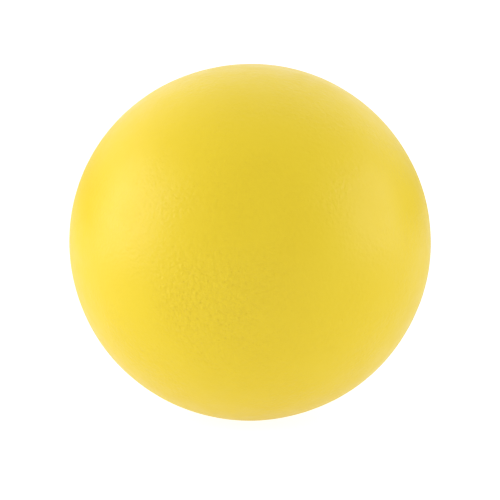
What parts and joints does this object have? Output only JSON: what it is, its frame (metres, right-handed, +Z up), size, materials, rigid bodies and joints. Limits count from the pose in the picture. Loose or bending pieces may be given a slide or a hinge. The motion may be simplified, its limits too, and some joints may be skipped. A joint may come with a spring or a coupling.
{
  "type": "stress ball",
  "caption": "Palm-sized moulded foam ball for squeezing, with a smooth elastic coat and a small flat foot.",
  "frame": {"origin": "centre of the flat foot left where the pouring gate was cut off, on the surface that the ball stands on", "axes": "+Z up through the ball's middle, X across the mould's parting plane, so the two halves of the skin meet at X = 0"},
  "size_m": [0.07, 0.07, 0.0687],
  "materials": {
    "coat": "matt warm yellow elastic lacquer with very fine pores",
    "moulded_skin": "dense matt moulded foam, pale yellow",
    "core_foam": "soft fine-celled foam, cream"
  },
  "bodies": {
    "core": {"foam_core": "core_foam", "gate_stub": "core_foam", "seam_flash": "moulded_skin", "outer_coat": "coat"},
    "left_side": {"left_skin": "moulded_skin"},
    "right_side": {"right_skin": "moulded_skin"}
  },
  "joints": [
    {"name": "squeeze_left", "type": "slide", "parent": "core", "child": "left_side", "axis": [1, 0, 0], "range_m": [0, 0.01575], "stiffness_N_per_m": 2500, "deforming": ["left_skin", "outer_coat", "foam_core", "seam_flash", "gate_stub"]},
    {"name": "squeeze_right", "type": "slide", "parent": "core", "child": "right_side", "axis": [-1, 0, 0], "range_m": [0, 0.01575], "stiffness_N_per_m": 2500, "deforming": ["right_skin"]}
  ],
  "couplings": [
    {"joint": "squeeze_right", "follows": "squeeze_left", "ratio": 1}
  ]
}
